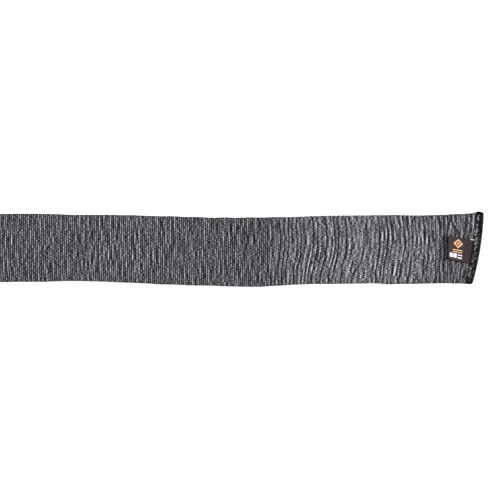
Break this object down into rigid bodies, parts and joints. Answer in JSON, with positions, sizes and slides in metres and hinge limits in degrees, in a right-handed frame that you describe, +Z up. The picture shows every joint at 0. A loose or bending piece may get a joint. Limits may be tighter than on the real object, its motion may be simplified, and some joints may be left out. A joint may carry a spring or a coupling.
{
  "type": "knitted storage sleeve",
  "caption": "Long narrow knitted fabric sleeve, open at one end and sewn shut at the other with a serged seam that holds a small folded woven label.",
  "frame": {"origin": "on the flat underside that the sleeve lies on, below the middle of its length", "axes": "+X along the sleeve towards its closed toe, +Y across its flat width, +Z up from the surface it lies on, with the label on the upper side"},
  "size_m": [1.3206, 0.1043, 0.015],
  "materials": {
    "heather_knit": "heathered grey and black coarse knit, matt and slightly fuzzy",
    "black_thread": "near-black textured overlock thread, matt with a faint sheen",
    "brown_ribbon": "dark brown woven satin ribbon, slight sheen",
    "tan_weft": "tan weft yarn woven into the label, slight sheen",
    "white_weft": "white weft yarn woven into the label, slight sheen"
  },
  "bodies": {
    "sleeve": {"knit_sleeve": "heather_knit", "toe_needle_thread": "black_thread", "toe_upper_looper_thread": "black_thread", "toe_lower_looper_thread": "black_thread", "toe_chain_tail_upper": "black_thread", "toe_chain_tail_lower": "black_thread", "mouth_needle_thread": "black_thread", "mouth_outer_looper_thread": "black_thread", "mouth_inner_looper_thread": "black_thread", "label_sewn_leg": "brown_ribbon"},
    "label": {"label_flap": "brown_ribbon", "label_tan_lozenge_weft": "tan_weft", "label_tan_band_weft": "tan_weft", "label_white_comb_weft": "white_weft"}
  },
  "joints": [
    {"name": "label_flip", "type": "hinge", "parent": "sleeve", "child": "label", "pos_m": [0.64142, -0.00376, 0.0051], "axis": [0.1734, 0.9848, 0], "range_deg": [0, 120]}
  ]
}
